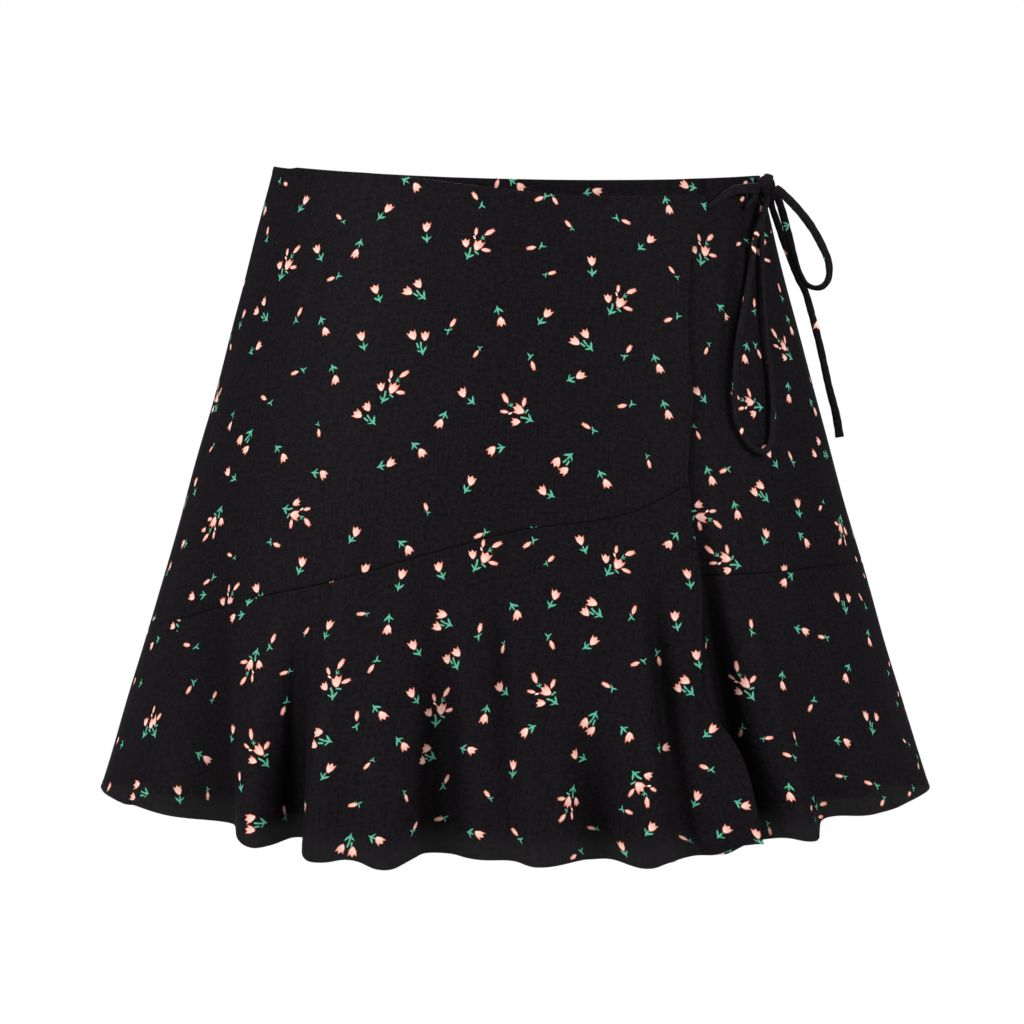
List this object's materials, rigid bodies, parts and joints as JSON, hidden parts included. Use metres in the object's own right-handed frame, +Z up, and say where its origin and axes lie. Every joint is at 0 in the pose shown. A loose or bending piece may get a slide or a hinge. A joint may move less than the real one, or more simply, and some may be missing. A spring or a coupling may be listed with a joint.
{
  "type": "wrap skirt",
  "caption": "Short wrap skirt, filled out as worn, with a diagonal seam, a flared flounce and narrow ties in a bow at its side.",
  "frame": {"origin": "middle of the waist opening, level with its edge at the sides", "axes": "+Z up, +X towards the side where the wrap closes (the wearer's left), -Y out of the front"},
  "size_m": [0.4976, 0.3608, 0.4081],
  "materials": {
    "printed_crepe": "matt near-black crepe with a small scattered tulip print",
    "tie_crepe": "the same near-black printed crepe, sewn into a narrow flat tube"
  },
  "bodies": {
    "root": {"front_wrap_upper": "printed_crepe", "front_wrap_flounce": "printed_crepe", "underlap_upper": "printed_crepe", "underlap_flounce": "printed_crepe", "back_upper": "printed_crepe", "back_flounce": "printed_crepe", "tie_from_wrap": "tie_crepe", "tie_from_side_seam": "tie_crepe", "bow_loop_left": "tie_crepe", "bow_loop_right": "tie_crepe", "tie_long_end": "tie_crepe", "tie_short_end": "tie_crepe", "bow_knot": "tie_crepe"}
  },
  "joints": []
}
